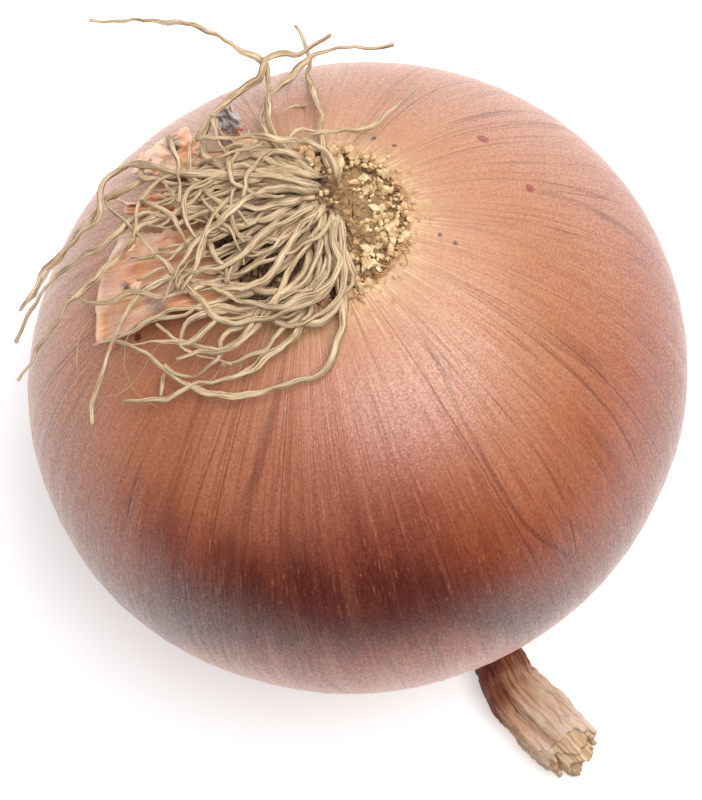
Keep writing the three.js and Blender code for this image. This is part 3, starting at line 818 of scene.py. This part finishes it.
def torn_material(colours):
    """Thin orange skin: ribs and fine fibres out from the roots, brown mould, pale edges, and a brighter
    orange that is partly painted light.
    """
    torn = Finish("torn_skin")
    place = torn.place()
    uv = torn.node("ShaderNodeUVMap", uv_map="sheet").outputs["UV"]
    ribs = torn.noise(torn.stretched(uv, 11, 2.2, 0), 1, 2, 0.5)
    fibres = torn.noise(torn.stretched(uv, 60, 6, 0), 1, 3, 0.6)
    mottle = torn.noise(place, 0.32, 4, 0.6)
    base = torn.ramp(ribs, [
        (0.3, srgb(206, 136, 94)),
        (0.48, colours.orange),
        (0.66, srgb(238, 190, 152)),
    ])
    base = torn.over(base, (torn.span(mottle, 0.52, 0.7, 0, 0.4), srgb(202, 118, 74)))
    base = torn.tint(torn.span(fibres, 0.52, 0.36, 0, 0.55), base, srgb(214, 168, 138))
    speckled = torn.span(torn.noise(place, 1.1, 4, 0.7), 0.3, 0.5)
    base = torn.over(
        base,
        # Brighter orange on two scraps: their own orange, lifted as painted light against the shade of the
        # roots over them
        (torn.times(torn.attribute("warm_and_painted_light", "Fac"), 0.7), srgb(242, 174, 108)),
        (torn.times(torn.attribute("mould", "Fac"), speckled), srgb(70, 44, 44)),
        (torn.times(torn.attribute("edge", "Fac"), 0.6), srgb(244, 206, 172)),
    )
    torn.bump(torn.plus(ribs, fibres, torn.noise(place, 1.3, 3, 0.6)), 0.22, 0.2)
    return torn.done(base, 0.24, Sheen_Weight=0.2, Specular_IOR_Level=1.0)


def neck_material():
    """Dried leaf sheath: red-brown by the bulb, cream toward the end, with painted shade in the folds and the
    low places of its relief.
    """
    neck = Finish("neck_sheath")
    trace = neck.attribute("sheath")
    cos_round, _, along = neck.split(trace)
    streaks = neck.noise(neck.stretched(trace, 7, 7, 2.5), 1, 5, 0.65)
    wrinkles = neck.noise(neck.stretched(trace, 12, 12, 9), 1, 4, 0.6, 0.6)
    blotch = neck.noise(neck.place(), 0.28, 3)
    reach = neck.plus(along, neck.swing(blotch, 0.35), neck.swing(streaks, 0.3), neck.times(cos_round, 0.06))
    base = neck.ramp(reach, [
        (0.0, srgb(150, 84, 54)),
        (0.3, srgb(138, 68, 43)),
        (0.52, srgb(112, 46, 28)),
        (0.62, srgb(148, 86, 58)),
        (0.7, srgb(190, 146, 114)),
        (0.82, srgb(212, 180, 152)),
        (1.0, srgb(226, 202, 180)),
    ])
    # Darker where the streaks and wrinkles of the relief lie low: the sheath's own streaky colour with
    # painted shade in the valleys
    base = neck.tint(neck.span(wrinkles, 0.5, 0.34, 0, 0.5), base, srgb(206, 160, 130))
    base = neck.tint(neck.span(streaks, 0.5, 0.3, 0, 0.5), base, srgb(184, 140, 110))
    # Painted shade in the folds, by how deep each point lies in one
    base = neck.tint(neck.times(neck.attribute("painted_fold_shade", "Fac"), 0.7), base, srgb(170, 116, 86))
    neck.bump(neck.plus(streaks, neck.times(wrinkles, 0.8)), 0.8, 0.4)
    return neck.done(base, 0.7, Sheen_Weight=0.15, Specular_IOR_Level=0.35)


def inner_sheath_material():
    """Cream inner sheaths in the neck's broken mouth."""
    inner = Finish("inner_sheath")
    streaks = inner.noise(inner.stretched(inner.attribute("sheath"), 9, 9, 5), 1, 4, 0.6)
    base = inner.ramp(streaks, [
        (0.3, srgb(150, 106, 76)),
        (0.5, srgb(200, 166, 132)),
        (0.7, srgb(230, 208, 176)),
    ])
    inner.bump(streaks, 0.6, 0.2)
    return inner.done(base, 0.65, Specular_IOR_Level=0.35)


def floor_material():
    """Matt floor, almost white, that glows a little."""
    floor = Finish("pale_floor")
    tone = floor.noise(floor.place(), 0.004, 2)
    pale = floor.ramp(tone, [(0.3, (0.9, 0.9, 0.9, 1)), (0.7, (0.93, 0.93, 0.93, 1))])
    white = (1, 1, 1, 1)
    return floor.done(pale, 0.9, Specular_IOR_Level=0.1, Emission_Color=white, Emission_Strength=0.36)


# Operators

class ONION_OT_bulb_skin(bpy.types.Operator):
    """Spin the bulb's outline into its dry outer skin, with fine raised veins"""

    bl_idname = "onion.bulb_skin"
    bl_label = "Bulb skin"

    SPIN_STEPS = 288
    ARC_STEPS = 150

    def profile(self, bulb):
        """Points from the recess's middle over the outside to the neck tip's middle."""
        start = math.asin(RECESS_RADIUS / bulb.a)
        end = math.pi - math.asin(SHOULDER_START[0] / bulb.a)
        points = [(0.0, RECESS_FLOOR)]
        points += [(RECESS_RADIUS * share, RECESS_FLOOR) for share in (0.3, 0.6, 0.9)]
        points.append((RECESS_RADIUS, RECESS_FLOOR + 0.4))
        for i in range(self.ARC_STEPS + 1):
            angle = mix(start, end, i / self.ARC_STEPS)
            points.append((bulb.a * math.sin(angle), bulb.c * math.cos(angle)))
        shoulder, tip = Vector(SHOULDER_START), Vector(SHOULDER_END)
        points += [tuple(shoulder.lerp(tip, i / 12)) for i in range(1, 13)]
        flare = through([SHOULDER_END, *TIP_FLARE, TIP_END], 3)
        return points + [tuple(p) for p in flare[1:]]

    def execute(self, context):
        sizes = context.scene.onion_sizes
        bulb = Bulb(sizes)
        bm = spun(self.profile(bulb), self.SPIN_STEPS, MERGED_BELOW)
        for vert in bm.verts:
            self.relieve(vert, bulb, sizes)
        bmesh.ops.transform(bm, matrix=lean_matrix(), verts=bm.verts)
        for vert in bm.verts:
            vert.co.z = max(vert.co.z, 0.0)
        bmesh.ops.recalc_face_normals(bm, faces=bm.faces)
        new_piece("bulb_skin", bm, skin_material(context.scene.onion_colours, sizes), ["bulb"])
        return {"FINISHED"}

    def relieve(self, vert, bulb, sizes):
        """Veins along the meridians, lobes towards the neck, and the slight unevenness of a grown thing."""
        x, y, z = vert.co
        radius = math.hypot(x, y)
        if radius < RECESS_RADIUS + 0.1 and z > 0:
            return
        azimuth = math.atan2(y, x)
        towards_neck = smooth_step(-z, 12, bulb.c)
        # The part was spun the other way round
        lobe = 1 + 0.02 * towards_neck * math.cos(7 * -azimuth + 0.6)
        wander = noise.noise(round_place(azimuth, 1, z / 40) * 3)
        drift = Vector((0, 0, z / 60 + wander * 0.05))
        ridge = noise.noise(round_place(azimuth, 1, 0) * 11 + drift)
        veins = sizes.vein_height * (1 - min(1, abs(ridge) * 7)) * smooth_step(radius, 12, 20)
        swell = 0.22 * noise.noise(Vector((x, y, z)) / 17)
        out = Vector((x / bulb.a**2, y / bulb.a**2, z / bulb.c**2)).normalized()
        vert.co = Vector((x * lobe, y * lobe, z)) + out * (veins + swell * smooth_step(radius, 12, 24) - 0.05)


class ONION_OT_root_plate(bpy.types.Operator):
    """Corky root plate with its crown of broken root stubs"""

    bl_idname = "onion.root_plate"
    bl_label = "Root plate"

    RINGS = 34
    SPIN_STEPS = 128
    SEED = 5

    def execute(self, context):
        sizes = context.scene.onion_sizes
        bulb = Bulb(sizes)
        rng = random.Random(self.SEED)
        radius = RECESS_RADIUS - GAP / 2
        floor = RECESS_FLOOR + GAP
        profile = [(0.0, floor), (radius * 0.5, floor), (radius, floor)]
        for i in range(self.RINGS + 1):
            out = radius * (1 - i / self.RINGS)
            rise = smooth_step(1 - out / radius, 0, 0.55)
            profile.append((out, mix(bulb.dome(radius) - 0.3, bulb.c + 0.9, rise)))
        bm = spun(profile, self.SPIN_STEPS, MERGED_BELOW)
        for vert in bm.verts:
            on_top = smooth_step(vert.co.z, 29.6, 30.6)
            lumps = noise.fractal(vert.co / 1.7, 1.0, 2.0, 4)
            vert.co.z += on_top * 0.75 * lumps
        bmesh.ops.transform(bm, matrix=lean_matrix(), verts=bm.verts)
        bmesh.ops.recalc_face_normals(bm, faces=bm.faces)
        new_piece("root_plate", bm, plate_material(), ["root_tuft"])

        bm = bmesh.new()
        for i in range(sizes.stubs):
            self.add_stub(bm, bulb, rng, (i + 0.5) / sizes.stubs)
        bmesh.ops.transform(bm, matrix=lean_matrix(), verts=bm.verts)
        bmesh.ops.recalc_face_normals(bm, faces=bm.faces)
        stubs = new_piece("root_stubs", bm, stub_material(), ["root_tuft"])
        for polygon in stubs.data.polygons:
            polygon.use_smooth = False

        bm = bmesh.new()
        for i in range(sizes.frayed_fibres):
            self.add_fray(bm, bulb, rng, (i + 0.5) / sizes.frayed_fibres)
        new_piece("frayed_fibres", bm, fray_material(), ["root_tuft"])
        return {"FINISHED"}

    def add_stub(self, bm, bulb, rng, share):
        """A rough broken block, smaller and lower towards the middle of the plate."""
        azimuth = math.radians(mix(-125, 125, share) + rng.uniform(-12, 12))
        distance = RECESS_RADIUS * rng.uniform(0.12, 1.0) ** 0.6 * rng.choice((1, 1, 1, 1.03, 1.08, 1.18))
        size = rng.uniform(0.2, 0.42) + 0.4 * smooth_step(distance, 4, 8) * rng.random() ** 3
        height = bulb.dome(distance) + mix(0.75, 0.3, min(1, distance / RECESS_RADIUS))
        size *= mix(1, 0.55, smooth_step(distance, RECESS_RADIUS, 12.5))
        made = bmesh.ops.create_icosphere(bm, subdivisions=1, radius=size)["verts"]
        turn = Matrix.Rotation(rng.uniform(0, 6.28), 4, "Z") @ Matrix.Rotation(rng.uniform(-0.9, 0.9), 4, "X")
        shape = Matrix.Diagonal((rng.uniform(0.6, 1.2), rng.uniform(0.5, 0.9), rng.uniform(0.8, 1.8), 1))
        place = Matrix.Translation(round_place(azimuth, distance, height))
        bmesh.ops.transform(bm, matrix=place @ turn @ shape, verts=made)
        for vert in made:
            vert.co += Vector([rng.uniform(-0.3, 0.3) * size for _ in range(3)])

    def add_fray(self, bm, bulb, rng, share):
        """A torn fibre of old skin that runs out from the plate over the bulb."""
        azimuth = math.radians(mix(-135, 135, share) + rng.uniform(-3, 3))
        start = RECESS_RADIUS * rng.uniform(0.9, 1.0)
        end = RECESS_RADIUS + 0.4 + 2.6 * rng.random() * max(0.1, noise.noise(Vector((azimuth * 2.5, 3, 0))))
        lift = rng.uniform(0.0, 0.16)
        bend = rng.uniform(-0.12, 0.12)
        points = []
        for step in range(7):
            along = step / 6
            distance = mix(start, end, along)
            turned = azimuth + bend * along * along
            height = bulb.dome(distance) + lift * (1 - along) + 0.04
            points.append((lean_matrix() @ round_place(turned, distance, height)) / MM)
        add_strand(bm, points, rng.uniform(0.08, 0.26), 5, rng, flatten=0.6, tip=0.3)


class ONION_OT_roots(bpy.types.Operator):
    """Dry curled roots that sweep from the plate to one side, thick ones and rootlets"""

    bl_idname = "onion.roots"
    bl_label = "Roots"

    def execute(self, context):
        sizes = context.scene.onion_sizes
        bulb = Bulb(sizes)
        material = root_material(context.scene.onion_colours)
        rng = random.Random(ROOTLET_SEED)
        bm = bmesh.new()
        for layer, width, end_lift, places in LEADING_ROOTS:
            path = strand_path(bulb, places, layer, end_lift, rng)
            add_strand(bm, path, 0.88 * width / 2, 10, rng)
        new_piece("leading_roots", bm, material, ["root_tuft"])

        bm = bmesh.new()
        draw = PartRandom(ROOT_SEED)
        for i in range(LOOSE_ROOTS):
            places = loose_root_places(((i + 0.5) / LOOSE_ROOTS) ** 1.5, draw)
            layer, radius = draw(0.95, 4.4), draw(0.4, 0.6)
            add_strand(bm, strand_path(bulb, places, layer, 0, rng), radius, 9, rng)
        new_piece("loose_roots", bm, material, ["root_tuft"])

        bm = bmesh.new()
        for layer, width, end_lift, places in THIN_ROOTS:
            path = strand_path(bulb, places, layer, end_lift, rng, kink=0.1)
            add_strand(bm, path, width / 2, 7, rng, tip=0.5)
        for i in range(sizes.rootlets):
            share = (i + 0.5) / sizes.rootlets
            places = self.rootlet_places(share, rng)
            path = strand_path(bulb, places, rng.uniform(0.8, 4.4), 0, rng, kink=0.22)
            add_strand(bm, path, rng.uniform(0.24, 0.44), 8, rng, tip=0.45)
        for _ in range(sizes.tangled):
            path = strand_path(bulb, self.tangled_places(rng), rng.uniform(3.4, 5.2), 0, rng, kink=0.25)
            add_strand(bm, path, rng.uniform(0.26, 0.42), 8, rng, tip=0.45)
        new_piece("rootlets", bm, material, ["root_tuft"])
        return {"FINISHED"}

    def tangled_places(self, rng):
        """A short root that winds across the others on the left of the heap."""
        x, y = rng.uniform(-15, -5), rng.uniform(20, 31)
        heading = rng.uniform(0, 2 * math.pi)
        turn = rng.uniform(-0.5, 0.5)
        places = [(x, y)]
        for _ in range(6):
            heading += turn + rng.uniform(-0.5, 0.5)
            if x < -17 or x > -3 or y > 32 or y < 15:
                heading = math.atan2(23 - y, -9 - x) + rng.uniform(-0.5, 0.5)
            x += 1.9 * math.cos(heading)
            y += 1.9 * math.sin(heading)
            places.append((x, y))
        return places

    def rootlet_places(self, share, rng):
        """A rootlet that leaves the plate downwards or to the left and bends round in an arc."""
        start = math.radians(mix(150, 268, share) + rng.uniform(-9, 9))
        end = math.radians(mix(195, 158, share) + rng.uniform(-16, 16))
        reach = mix(6, 10, share) * rng.uniform(0.8, 1.3)
        length = rng.uniform(9, 19)
        x, y = mix(2, 3.5, share) + rng.uniform(-2.5, 0.5), mix(25, 17, share) + rng.uniform(-1.5, 1.5)
        places = [(x, y)]
        stride = length / 7
        for step in range(7):
            along = (step + 0.5) * stride
            heading = end + (start - end) * math.exp(-((along / reach) ** 2)) + rng.uniform(-0.35, 0.35)
            x += stride * math.cos(heading)
            y += stride * math.sin(heading)
            places.append((x, y))
        return places


class ONION_OT_torn_skins(bpy.types.Operator):
    """Scraps of older skin that stand off the bulb by the roots"""

    bl_idname = "onion.torn_skins"
    bl_label = "Torn skins"

    COLUMNS = 56
    ROWS = 72
    CURVE_STEPS = 500
    # How much of the brighter orange, partly painted light, each scrap takes
    WARM_AND_PAINTED_LIGHT = {"torn_skin_middle": 1.0, "torn_skin_upper": 0.35}

    def execute(self, context):
        sizes = context.scene.onion_sizes
        bulb = Bulb(sizes)
        material = torn_material(context.scene.onion_colours)
        for number, (name, held, free, teeth, stand_off) in enumerate(TORN_SKINS):
            bm = self.sheet(bulb, name, held, free, teeth, stand_off, number)
            piece = new_piece(name + "_scrap", bm, material, [name])
            wall = piece.modifiers.new("wall", "SOLIDIFY")
            wall.thickness = sizes.skin_thickness * MM
            wall.offset = 0
        return {"FINISHED"}

    def sheet(self, bulb, name, held, free, teeth, stand_off, number):
        """A fine sheet from the held edge to the free edge, wrinkled and ragged."""
        bm = bmesh.new()
        sheet_uv = bm.loops.layers.uv.new("sheet")
        edge = bm.verts.layers.float.new("edge")
        mould = bm.verts.layers.float.new("mould")
        warm_and_painted_light = bm.verts.layers.float.new("warm_and_painted_light")
        made = bmesh.ops.create_grid(bm, x_segments=self.COLUMNS, y_segments=self.ROWS, size=0.5)["verts"]
        held_curve = through([(x, y, 0) for x, y in held], self.CURVE_STEPS)
        free_curve = through([(x, y, 0) for x, y in free], self.CURVE_STEPS)
        at = {}
        for vert in made:
            at[vert] = (vert.co.x + 0.5, vert.co.y + 0.5)
        for face in bm.faces:
            for loop in face.loops:
                loop[sheet_uv].uv = at[loop.vert]
        for vert, (u, v) in at.items():
            start = held_curve[round(u * (len(held_curve) - 1))]
            end = free_curve[round(u * (len(free_curve) - 1))]
            span = (end - start).length
            tear = noise.fractal(Vector((u * 5, number * 7, 0)), 0.9, 2.0, 5) * 1.1 * teeth
            tear += teeth * 1.2 * noise.noise(Vector((u * 2.2, number * 3, 5)))
            ragged_v = v + smooth_step(v, 0.55, 1) * tear / span
            place = start.lerp(end, ragged_v)
            across = Vector((-(end - start).y, (end - start).x, 0)).normalized()
            side_tear = noise.fractal(Vector((v * 3, number * 11, round(u))), 0.9, 2.0, 5) * 2.4 * teeth
            place += across * side_tear * (abs(u - 0.5) * 2) ** 3
            ribs = 0.04 * math.sin(u * 26 + 5 * noise.noise(Vector((u * 4, v * 3, number))))
            crumple = 0.95 * noise.noise(Vector((u * 2.6, v * 2.8, number * 5))) * smooth_step(v, 0.05, 0.5)
            crumple += 0.5 * noise.noise(Vector((u * 6, v * 7, number * 5))) * smooth_step(v, 0.1, 0.6)
            point = bulb.lifted(place.x, place.y, stand_off(u, min(1, v)) + ribs * 0.6 + crumple)
            vert.co = point * MM
            vert[edge] = max(smooth_step(v, 0.93, 1), smooth_step(abs(u - 0.5), 0.46, 0.5))
            vert[mould] = max(
                strength * (1 - smooth_step((place.xy - Vector(spot)).length, radius * 0.4, radius * 1.5))
                for spot, radius, strength in MOULD_SPOTS)
            vert[warm_and_painted_light] = self.WARM_AND_PAINTED_LIGHT.get(name, 0.0)
        bmesh.ops.recalc_face_normals(bm, faces=bm.faces)
        return bm


class ONION_OT_neck(bpy.types.Operator):
    """Bent neck: wrinkled outer sheaths with a ragged mouth, and cream sheaths inside"""

    bl_idname = "onion.neck"
    bl_label = "Neck"

    def execute(self, context):
        middle = through([at for at, _, _ in NECK_ROUTE], 16)
        outside, inside = neck_material(), inner_sheath_material()
        finishes = (outside, outside, inside, inside)
        for seed, ((name, *measures), finish) in enumerate(zip(NECK_SHEATHS, finishes), 1):
            new_piece(name, self.sheath(middle, *measures, seed), finish, ["neck"])
        return {"FINISHED"}

    def sheath(self, middle, start, end, scale, ragged, cut, lip, rounds, rings, seed):
        """A wrinkled tube with a ragged mouth, turned in at the lip and running back down inside."""
        profile = [(0.0, 0.0)] + [(1.0, i / rings) for i in range(rings + 1)] + [(1 - lip, 1.0)]
        profile += [(1 - lip * 1.2, 1 - 0.03 * i) for i in range(1, 7)] + [(0.0, 0.8)]
        bm = spun(profile, rounds, MERGED_BELOW / 10)
        trace = bm.verts.layers.float_vector.new("sheath")
        # How deep each point lies in a fold, for the painted shade there
        painted_fold_shade = bm.verts.layers.float.new("painted_fold_shade")
        for vert in bm.verts:
            angle = math.atan2(vert.co.y, vert.co.x)
            out = math.hypot(vert.co.x, vert.co.y) * scale
            tears = noise.fractal(round_place(angle, 1.5, seed * 9), 0.9, 2.0, 5)
            tears = 1.6 * ragged * tears - cut * max(0.0, math.sin(angle))
            along = mix(start, end, vert.co.z) + tears * smooth_step(vert.co.z, 0.7, 1)
            point, depth = neck_point(middle, along, angle, out, seed)
            vert.co = point * MM
            vert.co.z = max(vert.co.z, 0.0)
            vert[trace] = round_place(angle, 1, along)
            vert[painted_fold_shade] = depth
        bmesh.ops.recalc_face_normals(bm, faces=bm.faces)
        return bm


def neck_point(middle, along, angle, out, seed):
    """A point of a neck sheath, in millimetres, and how deep in a fold it lies, which sets the painted shade
    in the folds.
    """
    share = min(1.0, max(0.0, along))
    place = share * (len(middle) - 1)
    i = min(int(place), len(middle) - 2)
    centre = middle[i].lerp(middle[i + 1], place - i)
    forward = (middle[min(i + 2, len(middle) - 1)] - middle[max(i - 1, 0)]).normalized()
    centre = centre + forward * (along - share) * NECK_LENGTH
    side = Vector((0, 0, 1)).cross(forward).normalized()
    up = forward.cross(side)
    spot = share * (len(NECK_ROUTE) - 1)
    n = min(int(spot), len(NECK_ROUTE) - 2)
    wide = mix(NECK_ROUTE[n][1], NECK_ROUTE[n + 1][1], spot - n)
    high = mix(NECK_ROUTE[n][2], NECK_ROUTE[n + 1][2], spot - n)
    wrinkled = smooth_step(along, 0.12, 0.45)
    twist = angle + 0.8 * along
    fine = noise.noise(round_place(twist, 5, along * 7 + seed * 3))
    finer = noise.noise(round_place(twist, 11, along * 11 + seed * 5))
    relief = 0.05 * math.sin(9 * twist) + 0.06 * math.sin(4 * twist + 1.3)
    relief += mix(0.24, 0.14, along) * (0.3 - abs(fine)) + mix(0.1, 0.04, along) * finer
    crossing = 0.06 * noise.noise(round_place(twist, 3, along * 26 + seed))
    crossing += 0.03 * noise.noise(round_place(angle, 6, along * 50))
    bulge = 1 + wrinkled * (relief + crossing)
    point = centre + side * (math.cos(angle) * wide * out * bulge)
    point += up * (math.sin(angle) * high * out * bulge)
    return point, wrinkled * smooth_step(-relief, 0.0, 0.16)


class ONION_OT_stage(bpy.types.Operator):
    """Pale floor, soft lights and the camera over the bulb"""

    bl_idname = "onion.stage"
    bl_label = "Stage"

    FLOOR_HALF_WIDTH = 4
    ROOM_LIGHT = 0.5
    MIDDLE = (0, 0, 0.03)
    LENS = 233.8
    CAMERA_TURN = math.radians(-17)

    def light(self, name, place, size, power):
        data = bpy.data.lights.new(name, "AREA")
        data.shape = "DISK"
        data.size = size
        data.energy = power
        lamp = bpy.data.objects.new(name, data)
        bpy.context.collection.objects.link(lamp)
        lamp.location = place
        lamp.rotation_euler = (Vector(self.MIDDLE) - Vector(place)).to_track_quat("-Z", "Y").to_euler()

    def light_room(self, tree):
        """A room that is bright above and dark round the horizon, most of all in front of the bulb."""
        room = Nodes(tree)
        _, y, z = room.split(room.node("ShaderNodeTexCoord").outputs["Generated"])
        height = room.plus(room.times(y, 0.25), z)
        light = room.ramp(height, [(0.15, (0.05, 0.05, 0.05, 1)), (0.8, (1, 1, 1, 1))])
        background = tree.nodes["Background"]
        room.put(light, background.inputs["Color"])
        room.put(self.ROOM_LIGHT, background.inputs["Strength"])

    def execute(self, context):
        bm = bmesh.new()
        bmesh.ops.create_grid(bm, x_segments=1, y_segments=1, size=self.FLOOR_HALF_WIDTH)
        mesh = bpy.data.meshes.new("floor")
        bm.to_mesh(mesh)
        bm.free()
        mesh.materials.append(floor_material())
        floor = bpy.data.objects.new("floor", mesh)
        context.collection.objects.link(floor)

        world = bpy.data.worlds.new("soft_room")
        context.scene.world = world
        world.use_nodes = True
        self.light_room(world.node_tree)
        self.light("key", (0.2, 0.1, 0.85), 0.62, 7.1)
        self.light("fill", (0.45, 0.6, 0.6), 0.5, 2.2)

        camera_data = bpy.data.cameras.new("camera")
        camera_data.sensor_fit = "AUTO"
        camera_data.sensor_width = 36
        camera_data.lens = self.LENS
        camera = bpy.data.objects.new("camera", camera_data)
        context.collection.objects.link(camera)
        camera.location = (EYE.x * MM, EYE.y * MM, (CENTRE_HEIGHT + EYE_HEIGHT) * MM)
        camera.rotation_euler = (0, 0, self.CAMERA_TURN)
        context.scene.camera = camera
        context.scene.view_settings.view_transform = "Standard"
        context.scene.view_settings.exposure = 0.0
        return {"FINISHED"}


class ONION_PT_sidebar(bpy.types.Panel):
    """The onion's pieces, in the order they are made"""

    bl_label = "Onion"
    bl_idname = "ONION_PT_sidebar"
    bl_space_type = "VIEW_3D"
    bl_region_type = "UI"
    bl_category = "Onion"

    def draw(self, context):
        for group in (context.scene.onion_sizes, context.scene.onion_colours):
            for name in group.__annotations__:
                self.layout.prop(group, name)
        for operator in OPERATORS:
            self.layout.operator(operator.bl_idname)


OPERATORS = (
    ONION_OT_stage,
    ONION_OT_bulb_skin,
    ONION_OT_root_plate,
    ONION_OT_roots,
    ONION_OT_torn_skins,
    ONION_OT_neck,
)
CLASSES = (OnionSizes, OnionColours, *OPERATORS, ONION_PT_sidebar)


def register():
    for cls in CLASSES:
        bpy.utils.register_class(cls)
    bpy.types.Scene.onion_sizes = bpy.props.PointerProperty(type=OnionSizes)
    bpy.types.Scene.onion_colours = bpy.props.PointerProperty(type=OnionColours)


def unregister():
    del bpy.types.Scene.onion_colours
    del bpy.types.Scene.onion_sizes
    for cls in reversed(CLASSES):
        bpy.utils.unregister_class(cls)


def main():
    register()
    bpy.ops.onion.stage()
    bpy.ops.onion.bulb_skin()
    bpy.ops.onion.root_plate()
    bpy.ops.onion.roots()
    bpy.ops.onion.torn_skins()
    bpy.ops.onion.neck()


if __name__ == "__main__":
    main()
